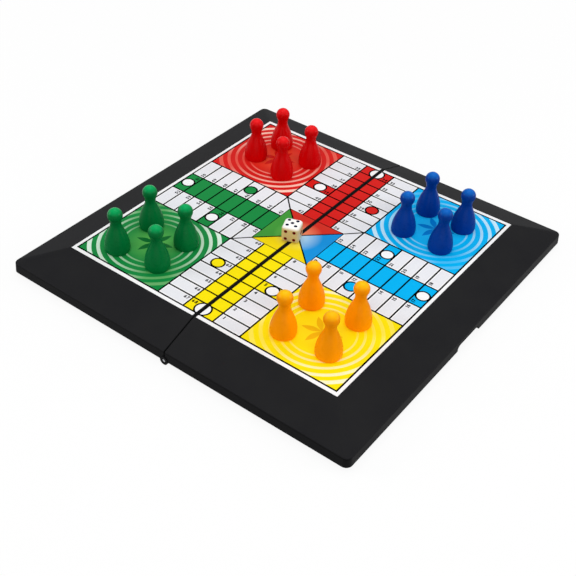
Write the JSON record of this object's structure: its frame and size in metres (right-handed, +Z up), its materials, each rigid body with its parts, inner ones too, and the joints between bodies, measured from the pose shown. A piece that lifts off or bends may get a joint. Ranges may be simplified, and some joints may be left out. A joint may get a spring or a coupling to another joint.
{
  "type": "folding ludo board box",
  "caption": "Square black board box that folds in half on pinned knuckles, with a printed magnetic ludo face, bell-shaped pawns and a die.",
  "frame": {"origin": "middle of the open board at its lowest level, under the fold", "axes": "+Z up out of the playing face, +Y along the fold away from the viewer, +X across the fold to the right half"},
  "size_m": [0.251, 0.2516, 0.0485],
  "materials": {
    "case_plastic": "fine satin moulded black plastic",
    "board_print": "printed sheet with a glossy film",
    "plate_steel": "thin rolled sheet",
    "pin_steel": "bright drawn wire",
    "magnet_metal": "nickel-plated disc",
    "die_plastic": "polished ivory-white plastic",
    "green_pawn_plastic": "satin moulded plastic",
    "red_pawn_plastic": "satin moulded plastic",
    "blue_pawn_plastic": "satin moulded plastic",
    "yellow_pawn_plastic": "satin moulded plastic"
  },
  "bodies": {
    "left_half": {"left_case": "case_plastic", "left_steel_plate": "plate_steel", "left_board_print": "board_print", "front_hinge_pin": "pin_steel", "rear_hinge_pin": "pin_steel"},
    "right_half": {"right_case": "case_plastic", "right_steel_plate": "plate_steel", "right_board_print": "board_print"},
    "green_pawn_1": {"green_pawn_1": "green_pawn_plastic", "green_magnet_1": "magnet_metal"},
    "green_pawn_2": {"green_pawn_2": "green_pawn_plastic", "green_magnet_2": "magnet_metal"},
    "green_pawn_3": {"green_pawn_3": "green_pawn_plastic", "green_magnet_3": "magnet_metal"},
    "green_pawn_4": {"green_pawn_4": "green_pawn_plastic", "green_magnet_4": "magnet_metal"},
    "red_pawn_1": {"red_pawn_1": "red_pawn_plastic", "red_magnet_1": "magnet_metal"},
    "red_pawn_2": {"red_pawn_2": "red_pawn_plastic", "red_magnet_2": "magnet_metal"},
    "red_pawn_3": {"red_pawn_3": "red_pawn_plastic", "red_magnet_3": "magnet_metal"},
    "red_pawn_4": {"red_pawn_4": "red_pawn_plastic", "red_magnet_4": "magnet_metal"},
    "blue_pawn_1": {"blue_pawn_1": "blue_pawn_plastic", "blue_magnet_1": "magnet_metal"},
    "blue_pawn_2": {"blue_pawn_2": "blue_pawn_plastic", "blue_magnet_2": "magnet_metal"},
    "blue_pawn_3": {"blue_pawn_3": "blue_pawn_plastic", "blue_magnet_3": "magnet_metal"},
    "blue_pawn_4": {"blue_pawn_4": "blue_pawn_plastic", "blue_magnet_4": "magnet_metal"},
    "yellow_pawn_1": {"yellow_pawn_1": "yellow_pawn_plastic", "yellow_magnet_1": "magnet_metal"},
    "yellow_pawn_2": {"yellow_pawn_2": "yellow_pawn_plastic", "yellow_magnet_2": "magnet_metal"},
    "yellow_pawn_3": {"yellow_pawn_3": "yellow_pawn_plastic", "yellow_magnet_3": "magnet_metal"},
    "yellow_pawn_4": {"yellow_pawn_4": "yellow_pawn_plastic", "yellow_magnet_4": "magnet_metal"},
    "die": {"die": "die_plastic"}
  },
  "joints": [
    {"name": "fold_hinge", "type": "hinge", "parent": "left_half", "child": "right_half", "pos_m": [0, 0, 0.0028], "axis": [0, 1, 0], "range_deg": [0, 180]},
    {"name": "green_pawn_1_lift", "type": "slide", "parent": "left_half", "child": "green_pawn_1", "axis": [0, 0, 1], "range_m": [0, 0.05]},
    {"name": "green_pawn_2_lift", "type": "slide", "parent": "left_half", "child": "green_pawn_2", "axis": [0, 0, 1], "range_m": [0, 0.05]},
    {"name": "green_pawn_3_lift", "type": "slide", "parent": "left_half", "child": "green_pawn_3", "axis": [0, 0, 1], "range_m": [0, 0.05]},
    {"name": "green_pawn_4_lift", "type": "slide", "parent": "left_half", "child": "green_pawn_4", "axis": [0, 0, 1], "range_m": [0, 0.05]},
    {"name": "red_pawn_1_lift", "type": "slide", "parent": "left_half", "child": "red_pawn_1", "axis": [0, 0, 1], "range_m": [0, 0.05]},
    {"name": "red_pawn_2_lift", "type": "slide", "parent": "left_half", "child": "red_pawn_2", "axis": [0, 0, 1], "range_m": [0, 0.05]},
    {"name": "red_pawn_3_lift", "type": "slide", "parent": "left_half", "child": "red_pawn_3", "axis": [0, 0, 1], "range_m": [0, 0.05]},
    {"name": "red_pawn_4_lift", "type": "slide", "parent": "left_half", "child": "red_pawn_4", "axis": [0, 0, 1], "range_m": [0, 0.05]},
    {"name": "blue_pawn_1_lift", "type": "slide", "parent": "right_half", "child": "blue_pawn_1", "axis": [0, 0, 1], "range_m": [0, 0.05]},
    {"name": "blue_pawn_2_lift", "type": "slide", "parent": "right_half", "child": "blue_pawn_2", "axis": [0, 0, 1], "range_m": [0, 0.05]},
    {"name": "blue_pawn_3_lift", "type": "slide", "parent": "right_half", "child": "blue_pawn_3", "axis": [0, 0, 1], "range_m": [0, 0.05]},
    {"name": "blue_pawn_4_lift", "type": "slide", "parent": "right_half", "child": "blue_pawn_4", "axis": [0, 0, 1], "range_m": [0, 0.05]},
    {"name": "yellow_pawn_1_lift", "type": "slide", "parent": "right_half", "child": "yellow_pawn_1", "axis": [0, 0, 1], "range_m": [0, 0.05]},
    {"name": "yellow_pawn_2_lift", "type": "slide", "parent": "right_half", "child": "yellow_pawn_2", "axis": [0, 0, 1], "range_m": [0, 0.05]},
    {"name": "yellow_pawn_3_lift", "type": "slide", "parent": "right_half", "child": "yellow_pawn_3", "axis": [0, 0, 1], "range_m": [0, 0.05]},
    {"name": "yellow_pawn_4_lift", "type": "slide", "parent": "right_half", "child": "yellow_pawn_4", "axis": [0, 0, 1], "range_m": [0, 0.05]},
    {"name": "die_lift", "type": "slide", "parent": "left_half", "child": "die", "axis": [0, 0, 1], "range_m": [0, 0.05]}
  ]
}
